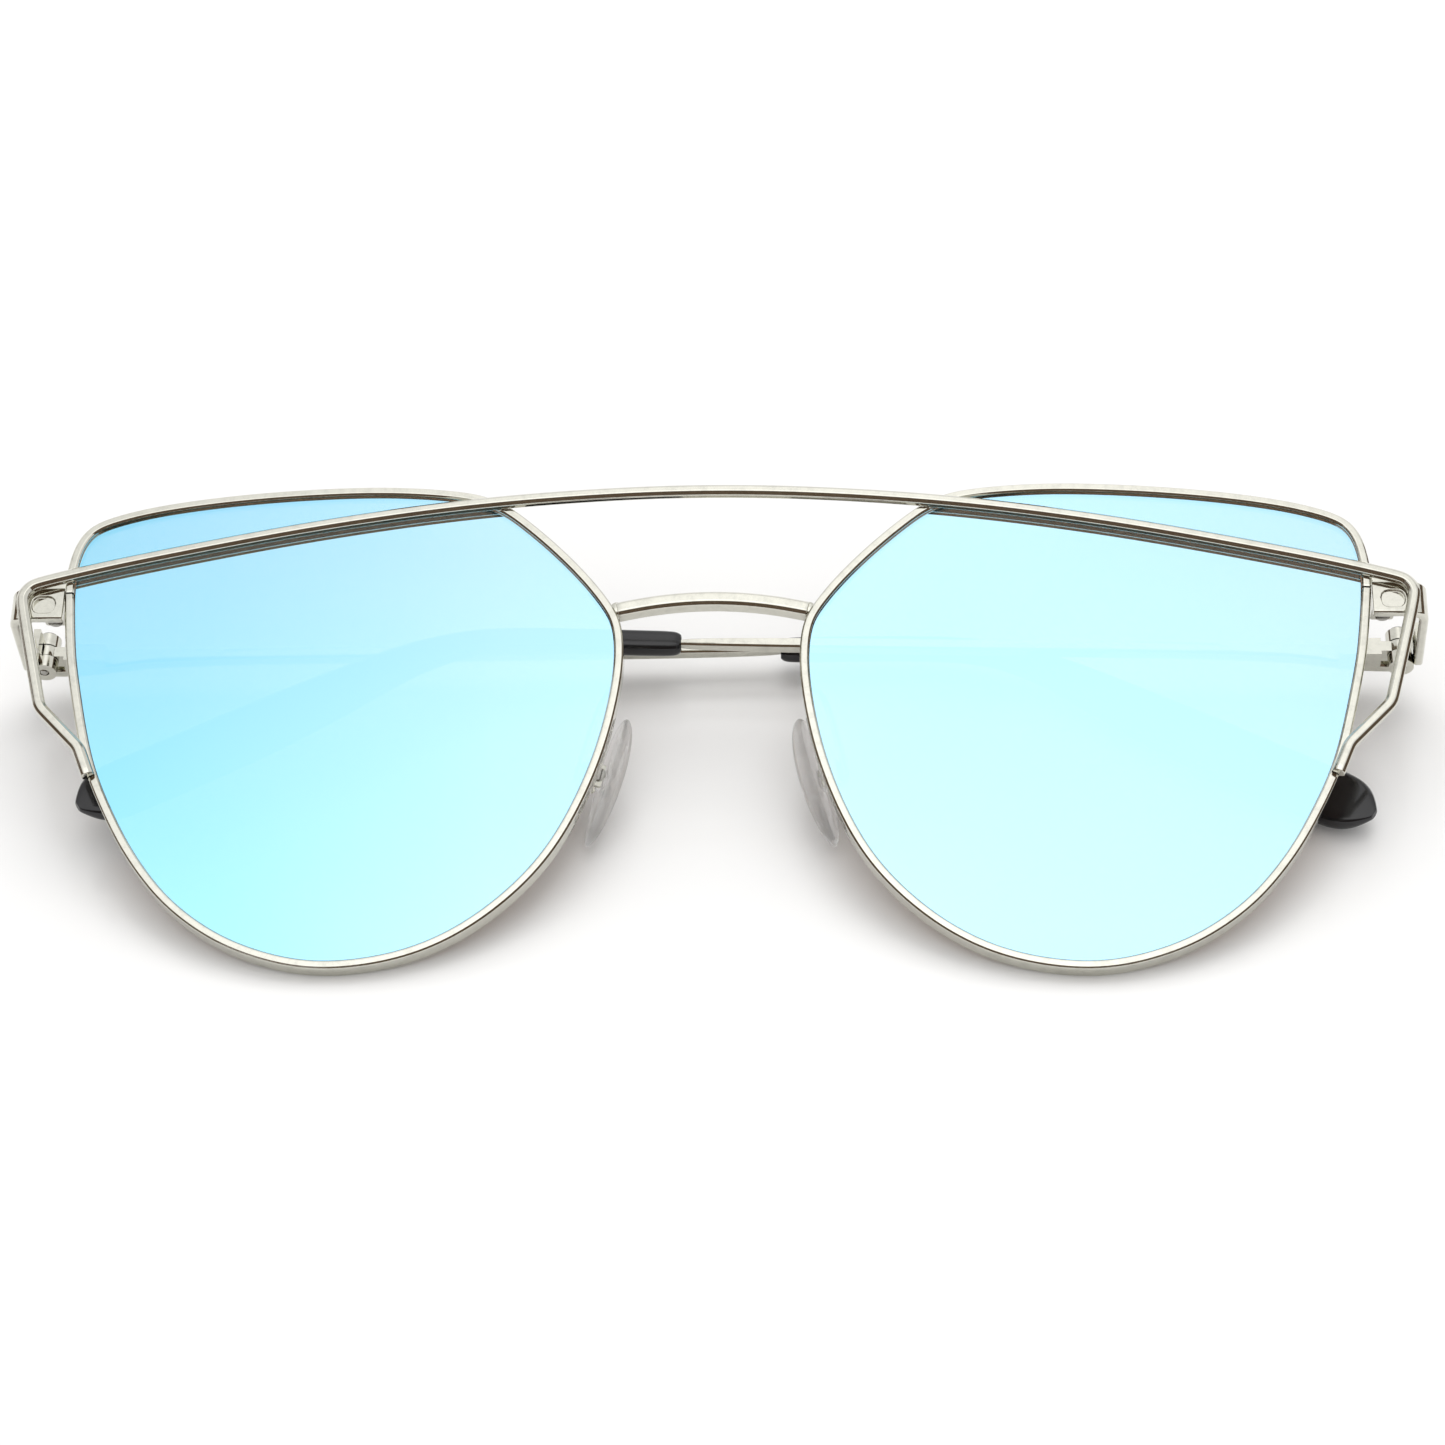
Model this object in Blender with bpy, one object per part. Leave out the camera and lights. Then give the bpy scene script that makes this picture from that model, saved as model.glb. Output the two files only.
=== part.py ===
"""Folded metal sunglasses: two full rims with flat lenses, one brow bar whose ends turn down as side struts,
a lower bridge, screw-on nose pads and two hinged temples with plastic tips.

The front is modelled in its own frame in millimetres, x across, y up the front and z out of the lenses, and an
empty leans that frame back into the folded resting pose. Left and right are as seen from the front.
"""

import bmesh
import bpy
import math
from mathutils import Matrix, Vector

MM = 0.001
LEFT = -1
RIGHT = 1
SIDE_NAMES = {LEFT: "left", RIGHT: "right"}
JOINT_GAP = 0.05  # between soldered or clamped pieces

# The front at rest: leaned back on the rim bottoms and one folded temple.
FRONT_TILT = math.radians(21.5)
FRONT_ORIGIN = (0.0, -26.744, 1.76)

# Rims and lenses. The outline is the rim's outer edge on the right side, from the bottom round past the nose.
RIM_OUTLINE = (
    (39.0, 0.1), (29.9, 1.4), (22.3, 5.6), (15.8, 12.7), (11.5, 22.3), (9.4, 31.9), (9.35, 38.9), (11.3, 43.1),
    (15.2, 47.9), (19.6, 52.2), (22.7, 54.5), (26.6, 55.9), (35.2, 56.6), (45.7, 56.2), (55.5, 55.1), (62.9, 53.5),
    (67.1, 51.2), (68.5, 46.0), (67.9, 38.4), (66.9, 32.8), (64.7, 24.1), (62.0, 17.8), (58.5, 11.8), (53.8, 6.4),
    (47.3, 2.2),
)
OUTLINE_STEPS = 3
RIM_FACE = 0.95
RIM_DEPTH = 2.0
RIM_CHAMFER = 0.18
GROOVE_DEPTH = 0.3
RIM_SEAM_HEIGHT = 43.9
RIM_SEAM_GAP = 0.2
LENS_THICKNESS = 0.95
LENS_EDGE_GAP = 0.06

# Brow bar and its struts: one bent rod across the rims, let into notches in their front.
BAR_SINK = 0.4
NOTCH_RUN = 0.1  # how far a notch runs past the end of a strut
BAR_FACE = 1.3
BAR_DEPTH = 1.3
BAR_CHAMFER = 0.36
BAR_CENTRE_HEIGHT = 55.6
BAR_ARCH = ((21.0, 54.5), (40.6, 51.7), (61.2, 47.3))
BAR_CORNER = (73.3, 44.1)
STRUT_KNEE = (69.6, 29.7)
STRUT_ANKLE = (65.1, 25.0)
STRUT_END = (63.75, 21.7)
BAR_BENDS = (2.2, 3.0, 3.0)  # radii at the corner, the knee and the ankle

# Lower bridge between the rims.
BRIDGE_FACE = 1.65
BRIDGE_DEPTH = 2.0
BRIDGE_CHAMFER = 0.35
BRIDGE_END = (9.98, 41.5)
BRIDGE_RISE = 1.3

# Endpieces: a plate beside the rim that bends back to the hinge.
LUG_HEIGHT = 3.9
LUG_THICKNESS = 1.0
LUG_CENTRE_HEIGHT = 42.7
LUG_INNER_X = 68.6
LUG_CORNER_X = 73.9
LUG_BACK_X = 74.5
LUG_BEND_RADIUS = 1.6
LUG_FRONT_Z = -0.95
LUG_RECESS = (2.5, 2.0)

# Temple hinges. The axis leans back so that the open temples drop away from the front's normal.
HINGE_X = 72.7
HINGE_Y = 42.7
HINGE_Z = -12.0
HINGE_LEAN = math.radians(8.0)
KNUCKLE_RADIUS = 1.35
HINGE_HEIGHT = 4.4
TONGUE_HEIGHT = 1.3
TONGUE_GAP = 0.08
SCREW_RADIUS = 0.5
SCREW_GAP = 0.05
SCREW_HEAD_RADIUS = 0.95
SCREW_HEAD_HEIGHT = 0.5
SCREW_SLOT = (0.28, 0.22)

# Temples. Distances run along the arm from the hinge axis. The outer arm's tip sits a little further along, and it
# also starts to bend in further along, so that the two folded temples stay clear of each other.
OUTER_TEMPLE_SIDE = LEFT
OUTER_TEMPLE_REST = math.radians(1.65)  # it lies on the inner temple and so stays this far open
TIP_SHIFT = {LEFT: 1.3, RIGHT: -1.3}
ARM_START = 0.3
ARM_OFFSET = 2.1
ARM_TOP = 2.0
ARM_RISE = {LEFT: 0.032, RIGHT: 0.022}  # how much each folded arm climbs for every millimetre along it
ARM_TAPER = ((ARM_START, 1.1, 2.9), (4.0, 1.5, 2.8), (9.0, 1.5, 2.0), (12.0, 1.5, 1.7), (17.4, 1.5, 1.6))
ARM_SECTION = (1.45, 1.4)
ARM_NECK = (0.9, 0.6)  # where the arm enters the sleeve
NOTCH = (18.2, 0.6)
SLEEVE_START = 78.0
SLEEVE_SECTION = (2.1, 2.9)
PADDLE_SECTION = (2.3, 6.6)
CORE_SECTION = (1.0, 1.0)
CORE_END = 126.0
CORE_GAP = 0.1
BEND_START = 94.0
BEND_RADIUS = 26.0
BEND_ANGLE = math.radians(36.0)
TIP_END = 139.4
TIP_ROUND = 3.6
TIP_INWARD = 7.5
TIP_INWARD_START = {LEFT: 90.0, RIGHT: 77.0}

# Nose pads, each rocking on its screw in a small box at the end of a wire arm.
PAD_SIZE = (7.4, 15.2, 2.0)
PAD_CENTRE = (12.2, 24.9, -6.6)
PAD_TWIST = math.radians(62.0)
PAD_SPLAY = math.radians(12.5)
PAD_BOSS = (1.0, 2.0, 1.5)  # along the screw, along the pad, out from the pad's back
PAD_BOX_WALL = 0.45
PAD_BOX_GAP = 0.12
PAD_BOX_HEIGHT = 2.6
PAD_SCREW_RADIUS = 0.4
PAD_SCREW_REACH = 1.55  # from the pad's middle plane out to the screw's axis
PAD_WIRE_RADIUS = 0.42
PAD_WIRE_FOOT = (9.95, 34.5, -2.08)
PAD_WIRE_BEND = (10.0, 34.7, -4.0)
PAD_WIRE_LOOP = (11.9, 33.2, -6.3)

# Blocks that close the rims on the lenses, with their screws.
BLOCK_X = (68.6, 71.0)
BLOCK_Z = (-3.9, -1.5)
BLOCK_HEIGHT = 1.9
BLOCK_GAP = 0.2
BLOCK_SCREW_RADIUS = 0.45


# ---------------------------------------------------------------- materials

def material(name, colour, metallic, roughness, transmission=0.0):
    made = bpy.data.materials.new(name)
    made.use_nodes = True
    shader = made.node_tree.nodes["Principled BSDF"]
    shader.inputs["Base Color"].default_value = (*colour, 1.0)
    shader.inputs["Metallic"].default_value = metallic
    shader.inputs["Roughness"].default_value = roughness
    shader.inputs["Transmission Weight"].default_value = transmission
    made.diffuse_color = (*colour, 1.0)
    return made


def silver():
    return material("polished_silver_metal", (0.80, 0.78, 0.74), 1.0, 0.12)


def mirrored_blue():
    return material("blue_mirror_lens", (0.30, 0.72, 0.88), 0.85, 0.05)


def black_plastic():
    return material("glossy_black_plastic", (0.012, 0.012, 0.013), 0.0, 0.12)


def clear_silicone():
    return material("clear_silicone", (0.90, 0.92, 0.92), 0.0, 0.15, 0.9)


def screw_steel():
    return material("screw_steel", (0.62, 0.60, 0.57), 1.0, 0.25)


# ---------------------------------------------------------------- shape helpers

def new_object(name, mesh_data, parent, surface):
    mesh = bpy.data.meshes.new(name)
    mesh_data.to_mesh(mesh)
    mesh_data.free()
    mesh.materials.append(surface)
    made = bpy.data.objects.new(name, mesh)
    bpy.context.scene.collection.objects.link(made)
    made.parent = parent
    return made


def empty(name, parent=None):
    made = bpy.data.objects.new(name, None)
    bpy.context.scene.collection.objects.link(made)
    made.parent = parent
    return made


def loft(rings, closed=False):
    """A skin over rings of points, with flat caps on an open one."""
    made = bmesh.new()
    rows = [[made.verts.new(Vector(point) * MM) for point in ring] for ring in rings]
    last = len(rows) if closed else len(rows) - 1
    for i in range(last):
        here, after = rows[i], rows[(i + 1) % len(rows)]
        for j in range(len(here)):
            k = (j + 1) % len(here)
            made.faces.new((here[j], here[k], after[k], after[j]))
    if not closed:
        made.faces.new(rows[0])
        made.faces.new(rows[-1])
    bmesh.ops.recalc_face_normals(made, faces=made.faces)
    return made


def rounded_rectangle(width, height, radius, steps=1):
    """Corner points of a rectangle about the origin, with each corner cut by an arc of this many steps."""
    points = []
    corners = ((1, 1, 0), (-1, 1, 90), (-1, -1, 180), (1, -1, 270))
    for x_sign, y_sign, start in corners:
        for i in range(steps + 1):
            angle = math.radians(start + 90 * i / steps)
            x = x_sign * (width / 2 - radius) + radius * math.cos(angle)
            y = y_sign * (height / 2 - radius) + radius * math.sin(angle)
            points.append((x, y))
    return points


def circle(radius, steps):
    return [
        (radius * math.cos(math.tau * i / steps), radius * math.sin(math.tau * i / steps))
        for i in range(steps)
    ]


def frames(path, up, closed=False):
    """At each point of a path: the point, the sideways direction and the upward direction across it."""
    path = [Vector(point) for point in path]
    up = Vector(up)
    result = []
    for i, point in enumerate(path):
        before = path[i - 1] if closed or i > 0 else point
        after = path[(i + 1) % len(path)] if closed or i < len(path) - 1 else point
        along = (after - before).normalized()
        side = along.cross(up).normalized()
        result.append((point, side, side.cross(along)))
    return result


def sweep(path, profiles, up, closed=False):
    """A solid with profile i at point i of the path, or the same one all along."""
    if not isinstance(profiles[0][0], (tuple, list)):
        profiles = [profiles] * len(path)
    rings = []
    for (point, side, above), profile in zip(frames(path, up, closed), profiles):
        rings.append([point + side * a + above * b for a, b in profile])
    return loft(rings, closed)


def spline(points, steps, closed=False):
    """Catmull-Rom curve through points, with this many samples to a span."""
    points = [Vector((*point, 0.0)) if len(point) == 2 else Vector(point) for point in points]
    count = len(points)
    spans = count if closed else count - 1
    result = []
    for i in range(spans):
        if closed:
            a, b, c, d = (points[(i + k) % count] for k in (-1, 0, 1, 2))
        else:
            b, c = points[i], points[i + 1]
            a = points[i - 1] if i > 0 else b * 2 - c
            d = points[i + 2] if i + 2 < count else c * 2 - b
        for j in range(steps):
            t = j / steps
            result.append(
                0.5 * (2 * b + (c - a) * t + (2 * a - 5 * b + 4 * c - d) * t**2 + (3 * b - a - 3 * c + d) * t**3)
            )
    if not closed:
        result.append(points[-1])
    return result


def filleted(points, radii, steps):
    """A polyline with an arc of the given radius at each inner corner."""
    points = [Vector(point) for point in points]
    result = [points[0]]
    for before, corner, after, radius in zip(points, points[1:], points[2:], radii):
        into = (before - corner).normalized()
        out = (after - corner).normalized()
        half = into.angle(out) / 2
        reach = radius / math.tan(half)
        centre = corner + (into + out).normalized() * (radius / math.sin(half))
        start = corner + into * reach - centre
        end = corner + out * reach - centre
        turn = start.angle(end)
        for i in range(steps + 1):
            t = i / steps
            swing = (start * math.sin((1 - t) * turn) + end * math.sin(t * turn)) / math.sin(turn)
            result.append(centre + swing)
    result.append(points[-1])
    return result


def prism(profile, low, high, axis="z"):
    """A profile pulled straight from one height to another along an axis."""
    place = {
        "x": lambda a, b, h: (h, a, b),
        "y": lambda a, b, h: (a, h, b),
        "z": lambda a, b, h: (a, b, h),
    }[axis]
    return loft([[place(a, b, height) for a, b in profile] for height in (low, high)])


def box(low, high):
    corners = [(low[0], low[1]), (high[0], low[1]), (high[0], high[1]), (low[0], high[1])]
    return prism(corners, low[2], high[2])


def boolean(target, mesh_data, operation, name):
    """Cut from a target, or joined to it, for good."""
    helper = new_object(name, mesh_data, target.parent, target.data.materials[0])
    helper.matrix_basis = target.matrix_basis
    change = target.modifiers.new(name, "BOOLEAN")
    change.operation = operation
    change.solver = "EXACT"
    change.object = helper
    bpy.context.view_layer.update()
    graph = bpy.context.evaluated_depsgraph_get()
    changed = bpy.data.meshes.new_from_object(target.evaluated_get(graph))
    target.modifiers.clear()
    old = target.data
    target.data = changed
    bpy.data.meshes.remove(old)
    used = helper.data
    bpy.data.objects.remove(helper)
    bpy.data.meshes.remove(used)


def shade(made, angle=35.0):
    made.data.shade_smooth()
    made.data.set_sharp_from_angle(angle=math.radians(angle))


def mirrored(points, side):
    return [(side * point[0], *point[1:]) for point in points]


# ---------------------------------------------------------------- front

def outline(side):
    """The rim's outer edge and the outward direction at each of its points."""
    points = spline(mirrored(RIM_OUTLINE, side), OUTLINE_STEPS, closed=True)
    middle = sum(points, Vector()) / len(points)
    result = []
    for point, across, _ in frames(points, (0, 0, 1), closed=True):
        outward = across if across.dot(point - middle) > 0 else -across
        result.append((point, outward))
    return result


def make_rim(side, parent, surface):
    """A grooved ring, split at the seam where the closing blocks clamp it."""
    edge = outline(side)
    seam = min(
        range(len(edge)),
        key=lambda i: abs(edge[i][0].y - RIM_SEAM_HEIGHT) + (0 if abs(edge[i][0].x) > 60 else 100),
    )
    edge = edge[seam:] + edge[:seam]
    seam_point, seam_out = edge[0]
    along = (edge[1][0] - seam_point).normalized()
    edge.append((seam_point - along * RIM_SEAM_GAP / 2, seam_out))
    edge[0] = (seam_point + along * RIM_SEAM_GAP / 2, seam_out)
    inner = -RIM_FACE
    c = RIM_CHAMFER
    middle = -RIM_DEPTH / 2
    profile = (
        (inner + c, 0.0), (-c, 0.0), (0.0, -c), (0.0, c - RIM_DEPTH), (-c, -RIM_DEPTH), (inner + c, -RIM_DEPTH),
        (inner, c - RIM_DEPTH), (inner, middle - GROOVE_DEPTH), (inner + GROOVE_DEPTH, middle),
        (inner, middle + GROOVE_DEPTH), (inner, -c),
    )
    rings = [[point + out * a + Vector((0, 0, b)) for a, b in profile] for point, out in edge]
    made = new_object(f"rim_{SIDE_NAMES[side]}", loft(rings), parent, surface)
    boolean(made, bar_notch(), "DIFFERENCE", "notch")
    shade(made, 25)
    return made


def make_lens(side, parent, surface):
    """A flat lens whose bevelled edge sits in the rim's groove."""
    edge = outline(side)
    half = LENS_THICKNESS / 2
    middle = -RIM_DEPTH / 2
    ridge = GROOVE_DEPTH - 2 * LENS_EDGE_GAP
    rows = (
        (-RIM_FACE - LENS_EDGE_GAP, middle + half), (-RIM_FACE - LENS_EDGE_GAP, middle + ridge),
        (-RIM_FACE + ridge - LENS_EDGE_GAP, middle),
        (-RIM_FACE - LENS_EDGE_GAP, middle - ridge), (-RIM_FACE - LENS_EDGE_GAP, middle - half),
    )
    rings = [[point + out * a + Vector((0, 0, b)) for point, out in edge] for a, b in rows]
    made = new_object(f"lens_{SIDE_NAMES[side]}", loft(rings), parent, surface)
    shade(made, 25)
    return made


def bar_path(height):
    """The brow bar's middle line from strut end to strut end, at this height above the rims' front."""
    corner = Vector((*BAR_CORNER, 0.0))
    arch = [(-x, y) for x, y in reversed(BAR_ARCH)] + [(0.0, BAR_CENTRE_HEIGHT)] + list(BAR_ARCH)
    brow = spline([(-corner.x, corner.y), *arch, (corner.x, corner.y)], 5)
    half = [point for point in brow if 0.5 < point.x < corner.x - 4.0]
    lower = [corner, Vector((*STRUT_KNEE, 0.0)), Vector((*STRUT_ANKLE, 0.0)), Vector((*STRUT_END, 0.0))]
    bend = filleted([half[-1], *lower], BAR_BENDS, 4)
    right = half[:-1] + bend
    left = [Vector((-point.x, point.y, 0.0)) for point in reversed(right)]
    path = [*left, Vector((0.0, BAR_CENTRE_HEIGHT, 0.0)), *right]
    return [point + Vector((0, 0, height)) for point in path]


def bar_notch():
    """The room that the brow bar needs in the rims: the bar's own shape with a gap all round."""
    path = bar_path(BAR_DEPTH / 2 - BAR_SINK)
    path[0] += (path[0] - path[1]).normalized() * NOTCH_RUN
    path[-1] += (path[-1] - path[-2]).normalized() * NOTCH_RUN
    profile = rounded_rectangle(BAR_FACE + 2 * JOINT_GAP, BAR_DEPTH + 2 * JOINT_GAP, BAR_CHAMFER)
    return sweep(path, profile, (0, 0, 1))


def make_brow_bar(parent, surface):
    profile = rounded_rectangle(BAR_FACE, BAR_DEPTH, BAR_CHAMFER)
    path = bar_path(BAR_DEPTH / 2 - BAR_SINK)
    made = new_object("brow_bar", sweep(path, profile, (0, 0, 1)), parent, surface)
    shade(made, 30)
    return made


def make_bridge(parent, surface):
    end_x, end_y = BRIDGE_END
    path = [
        (end_x * t, end_y + BRIDGE_RISE * (1 - t * t), -RIM_DEPTH / 2)
        for t in (-1.0, -0.75, -0.5, -0.25, 0.0, 0.25, 0.5, 0.75, 1.0)
    ]
    profile = rounded_rectangle(BRIDGE_FACE, BRIDGE_DEPTH, BRIDGE_CHAMFER)
    made = new_object("bridge", sweep(path, profile, (0, 0, 1)), parent, surface)
    shade(made, 30)
    return made


def make_endpiece(side, parent, surface):
    """A plate that starts beside the rim, bends back at the corner and ends at the hinge."""
    path = filleted(
        [
            (side * LUG_INNER_X, LUG_CENTRE_HEIGHT, LUG_FRONT_Z),
            (side * LUG_CORNER_X, LUG_CENTRE_HEIGHT, LUG_FRONT_Z),
            (side * LUG_BACK_X, LUG_CENTRE_HEIGHT, HINGE_Z + ARM_START),
        ],
        (LUG_BEND_RADIUS,),
        6,
    )
    profile = rounded_rectangle(LUG_THICKNESS, LUG_HEIGHT, 0.2)
    made = new_object(f"endpiece_{SIDE_NAMES[side]}", sweep(path, profile, (0, 1, 0)), parent, surface)
    x = side * (LUG_INNER_X + 2.1)
    recess = rounded_rectangle(*LUG_RECESS, 0.8, 3)
    cutter = prism([(x + a, LUG_CENTRE_HEIGHT - 0.2 + b) for a, b in recess], LUG_FRONT_Z + 0.2, LUG_FRONT_Z + 2.0)
    boolean(made, cutter, "DIFFERENCE", "recess")
    shade(made, 30)
    return made


def make_closing_block(side, upper, parent, surface):
    """One half of the block that clamps the rim's ends together."""
    low = RIM_SEAM_HEIGHT + BLOCK_GAP / 2
    if not upper:
        low = RIM_SEAM_HEIGHT - BLOCK_GAP / 2 - BLOCK_HEIGHT
    width = BLOCK_X[1] - BLOCK_X[0]
    depth = BLOCK_Z[1] - BLOCK_Z[0]
    x = side * (BLOCK_X[0] + BLOCK_X[1]) / 2
    z = (BLOCK_Z[0] + BLOCK_Z[1]) / 2
    profile = [(x + a, z + b) for a, b in rounded_rectangle(width, depth, 0.3, 2)]
    where = "upper" if upper else "lower"
    name = f"rim_block_{where}_{SIDE_NAMES[side]}"
    made = new_object(name, prism(profile, low, low + BLOCK_HEIGHT, "y"), parent, surface)
    hole = [(x + a, z + b) for a, b in circle(BLOCK_SCREW_RADIUS + SCREW_GAP, 16)]
    boolean(made, prism(hole, low - 1, low + BLOCK_HEIGHT + 1, "y"), "DIFFERENCE", "hole")
    shade(made, 30)
    return made


def screw_mesh(radius, length, head_radius, head_height, head_steps=16):
    """A screw along y, its head's underside at the origin and its shank running down from it."""
    rings = []
    rows = (
        (radius * 0.7, -length), (radius, -length + 0.2), (radius, 0.0), (head_radius, 0.0),
        (head_radius, head_height * 0.7), (head_radius * 0.8, head_height),
    )
    for row_radius, height in rows:
        rings.append([(a, height, b) for a, b in circle(row_radius, head_steps)])
    return loft(rings)


def make_screw(name, parent, surface, place, radius, length, head_radius, head_height):
    made = new_object(name, screw_mesh(radius, length, head_radius, head_height), parent, surface)
    made.matrix_basis = place
    width, depth = SCREW_SLOT
    slot = box((-head_radius * 1.2, head_height - depth, -width / 2), (head_radius * 1.2, head_height * 2, width / 2))
    boolean(made, slot, "DIFFERENCE", "slot")
    shade(made, 30)
    return made


def make_closing_screw(side, parent, surface):
    x = side * (BLOCK_X[0] + BLOCK_X[1]) / 2
    z = (BLOCK_Z[0] + BLOCK_Z[1]) / 2
    bottom = RIM_SEAM_HEIGHT - BLOCK_GAP / 2 - BLOCK_HEIGHT
    length = 2 * BLOCK_HEIGHT + BLOCK_GAP + 0.3
    flipped = Matrix.Translation(Vector((x, bottom - JOINT_GAP, z)) * MM) @ Matrix.Rotation(math.pi, 4, "X")
    name = f"rim_screw_{SIDE_NAMES[side]}"
    return make_screw(name, parent, surface, flipped, BLOCK_SCREW_RADIUS, length, 0.8, 0.45)


# ---------------------------------------------------------------- hinges and temples

def hinge_matrix(side):
    """Frame on a hinge axis, its y up the axis and its z forward."""
    lean = Matrix.Rotation(-HINGE_LEAN, 4, "X")
    return Matrix.Translation(Vector((side * HINGE_X, HINGE_Y, HINGE_Z)) * MM) @ lean


def make_hinge_knuckles(side, parent, surface):
    """Two knuckles on a block, soldered inside the endpiece."""
    half = HINGE_HEIGHT / 2
    reach = LUG_BACK_X - LUG_THICKNESS / 2 - HINGE_X - 0.35
    profile = circle(KNUCKLE_RADIUS, 24)
    name = f"hinge_knuckles_{SIDE_NAMES[side]}"
    made = new_object(name, prism(profile, -half, half, "y"), parent, surface)
    made.matrix_basis = hinge_matrix(side)
    low = min(side * 0.2, side * reach)
    high = max(side * 0.2, side * reach)
    block = box((low, -half + 0.9, 0.0), (high, half - 0.9, 3.2))
    boolean(made, block, "UNION", "block")
    slot_half = TONGUE_HEIGHT / 2 + TONGUE_GAP
    slot = box((-4.0, -slot_half, -4.0), (4.0, slot_half, KNUCKLE_RADIUS + 0.3))
    boolean(made, slot, "DIFFERENCE", "slot")
    hole = prism(circle(SCREW_RADIUS + SCREW_GAP, 16), -half - 1, half + 1, "y")
    boolean(made, hole, "DIFFERENCE", "hole")
    shade(made, 30)
    return made


def make_hinge_screw(side, parent, surface):
    place = hinge_matrix(side) @ Matrix.Translation((0, (HINGE_HEIGHT / 2 + JOINT_GAP) * MM, 0))
    name = f"hinge_screw_{SIDE_NAMES[side]}"
    return make_screw(
        name, parent, surface, place, SCREW_RADIUS, HINGE_HEIGHT + 0.1, SCREW_HEAD_RADIUS, SCREW_HEAD_HEIGHT
    )


def temple_matrix(side, swing):
    """The hinge frame of one side turned open by this angle."""
    return hinge_matrix(side) @ Matrix.Rotation(-side * swing, 4, "Y")


def temple_point(side, along, up, out):
    """A point given along the folded arm, up the hinge axis and away from the lenses, in the hinge frame."""
    return Vector((-side * along, up, -out))


def temple_line(side, along):
    """Height and outward offset of the temple's centre line at a distance from the hinge."""
    bend_start = BEND_START + TIP_SHIFT[side]
    bend_end = bend_start + BEND_RADIUS * math.sin(BEND_ANGLE)
    up = ARM_TOP - ARM_SECTION[1] / 2 + ARM_RISE[side] * min(along, bend_start)
    if along > bend_end:
        up -= BEND_RADIUS * (1 - math.cos(BEND_ANGLE)) + (along - bend_end) * math.tan(BEND_ANGLE)
    elif along > bend_start:
        up -= BEND_RADIUS - math.sqrt(BEND_RADIUS**2 - (along - bend_start) ** 2)
    inward = max(0.0, (along - TIP_INWARD_START[side]) / (TIP_END - TIP_INWARD_START[side]))
    return up, ARM_OFFSET - TIP_INWARD * inward**2


def temple_path(side, stations):
    return [temple_point(side, along, *temple_line(side, along)) for along in stations]


def make_temple_arm(side, parent, surface):
    """A tall end that tapers along its lower edge, a V notch, the slim arm and the core wire inside the tip."""
    shift = TIP_SHIFT[side]
    notch_at, notch_depth = NOTCH
    stations = list(ARM_TAPER)
    stations.append((notch_at, ARM_SECTION[0], ARM_SECTION[1] - notch_depth))
    stations.append((notch_at + 0.8, *ARM_SECTION))
    stations += [(along, *ARM_SECTION) for along in (30.0, 42.0, 54.0, 66.0)]
    stations.append((SLEEVE_START + shift - 1.7, *ARM_SECTION))
    stations.append((SLEEVE_START + shift - 0.1, *ARM_NECK))
    core = (SLEEVE_START + 1.0, 84.0, 91.0, 98.0, 102.0, 106.0, 110.0, 113.3, 118.0, CORE_END)
    stations += [(along + shift, *CORE_SECTION) for along in core]
    rings = []
    path = temple_path(side, [station[0] for station in stations])
    for (point, across, above), (along, thick, tall) in zip(frames(path, (0, 1, 0)), stations):
        if along == notch_at:
            sink = -notch_depth / 2
        else:
            sink = min(0.0, (ARM_SECTION[1] - tall) / 2)
        rings.append([point + across * a + above * (b + sink) for a, b in rounded_rectangle(thick, tall, 0.2)])
    made = new_object(f"temple_arm_{SIDE_NAMES[side]}", loft(rings), parent, surface)
    shade(made, 30)
    return made


def tip_section(along):
    """Thickness and height of an unshifted tip at a distance from the hinge, closing round its end."""
    grow = min(1.0, max(0.0, (along - 98.0) / 26.0))
    grow = grow * grow * (3 - 2 * grow)
    end = max(0.0, (along - TIP_END + TIP_ROUND) / TIP_ROUND)
    close = math.sqrt(max(0.0, 1 - end * end))
    entry = math.sqrt(1 - max(0.0, 1 - (along - SLEEVE_START) / 1.2) ** 2 * 0.6)
    thick = SLEEVE_SECTION[0] + grow * (PADDLE_SECTION[0] - SLEEVE_SECTION[0])
    tall = SLEEVE_SECTION[1] + grow * (PADDLE_SECTION[1] - SLEEVE_SECTION[1])
    return thick * entry * max(close, 0.3), tall * entry * max(close, 0.15)


def make_temple_tip(side, parent, surface):
    """A plastic sleeve with a channel for the core wire, widening into a rounded paddle."""
    shift = TIP_SHIFT[side]
    outer = [SLEEVE_START + 0.1, SLEEVE_START + 0.5, SLEEVE_START + 1.2, 84.0, 91.0, 98.0, 102.0, 106.0, 110.0]
    outer += [113.3, 118.0, 123.0, 129.0, 135.0, 136.8, 138.2, 139.3, TIP_END]
    path = temple_path(side, [along + shift for along in outer])
    skin = []
    for (point, across, above), along in zip(frames(path, (0, 1, 0)), outer):
        thick, tall = tip_section(along)
        profile = rounded_rectangle(thick, tall, min(thick, tall) * 0.42, 3)
        skin.append([point + across * a + above * b for a, b in profile])
    made = new_object(f"temple_tip_{SIDE_NAMES[side]}", loft(skin), parent, surface)
    inner = (SLEEVE_START - 3.0, SLEEVE_START, 84.0, 91.0, 98.0, 102.0, 106.0, 110.0, 113.3, 118.0, CORE_END + 0.4)
    channel = rounded_rectangle(CORE_SECTION[0] + 2 * CORE_GAP, CORE_SECTION[1] + 2 * CORE_GAP, 0.25)
    cutter = sweep(temple_path(side, [along + shift for along in inner]), channel, (0, 1, 0))
    boolean(made, cutter, "DIFFERENCE", "channel")
    shade(made, 40)
    return made


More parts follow.
